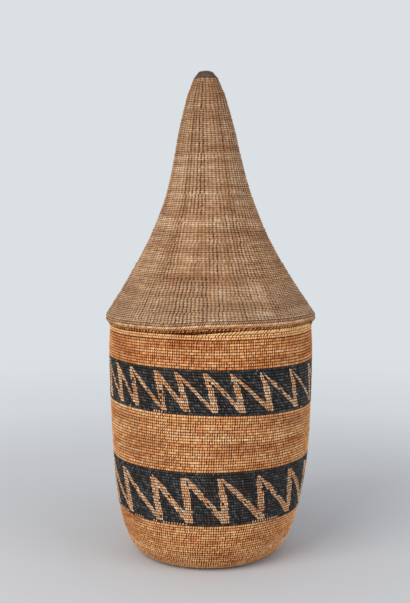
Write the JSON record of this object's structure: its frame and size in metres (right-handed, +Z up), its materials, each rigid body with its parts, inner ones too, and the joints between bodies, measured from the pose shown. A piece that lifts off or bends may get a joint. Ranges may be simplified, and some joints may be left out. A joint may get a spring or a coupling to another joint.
{
  "type": "lidded coiled basket",
  "caption": "Tall coiled basket of stitched grass with a rounded foot, dark zigzag bands, a braided rim and a steep, pointed lid that lifts off.",
  "frame": {"origin": "centre of the basket's underside, on the surface that it stands on", "axes": "+Z up along the basket's own axis, from the foot to the pointed tip; the pictured side faces -Y"},
  "size_m": [0.1476, 0.1476, 0.3404],
  "materials": {
    "natural_strip": "dry stitched fibre, orange tan",
    "black_strip": "dyed fibre with a slight sheen, blue black",
    "pale_strip": "dry stitched fibre, straw",
    "russet_strip": "dry stitched fibre, russet",
    "dusty_strip": "aged, dusty stitched fibre, grey brown",
    "dark_binding": "aged, rough binding, dark brown"
  },
  "bodies": {
    "container": {"base_start_coil": "pale_strip", "base_disc": "natural_strip", "base_edge_coil": "pale_strip", "foot_course": "natural_strip", "lower_black_band": "black_strip", "lower_zigzag": "natural_strip", "middle_course": "natural_strip", "upper_black_band": "black_strip", "upper_zigzag": "natural_strip", "top_course": "natural_strip", "rim_braid": "pale_strip"},
    "lid": {"lid_flange": "natural_strip", "lid_seat_coil": "russet_strip", "lid_edge_coil": "natural_strip", "lid_cone": "dusty_strip", "tip_cap": "dark_binding"}
  },
  "joints": [
    {"name": "lid_lift", "type": "slide", "parent": "container", "child": "lid", "axis": [0, 0, 1], "range_m": [0, 0.12]}
  ]
}
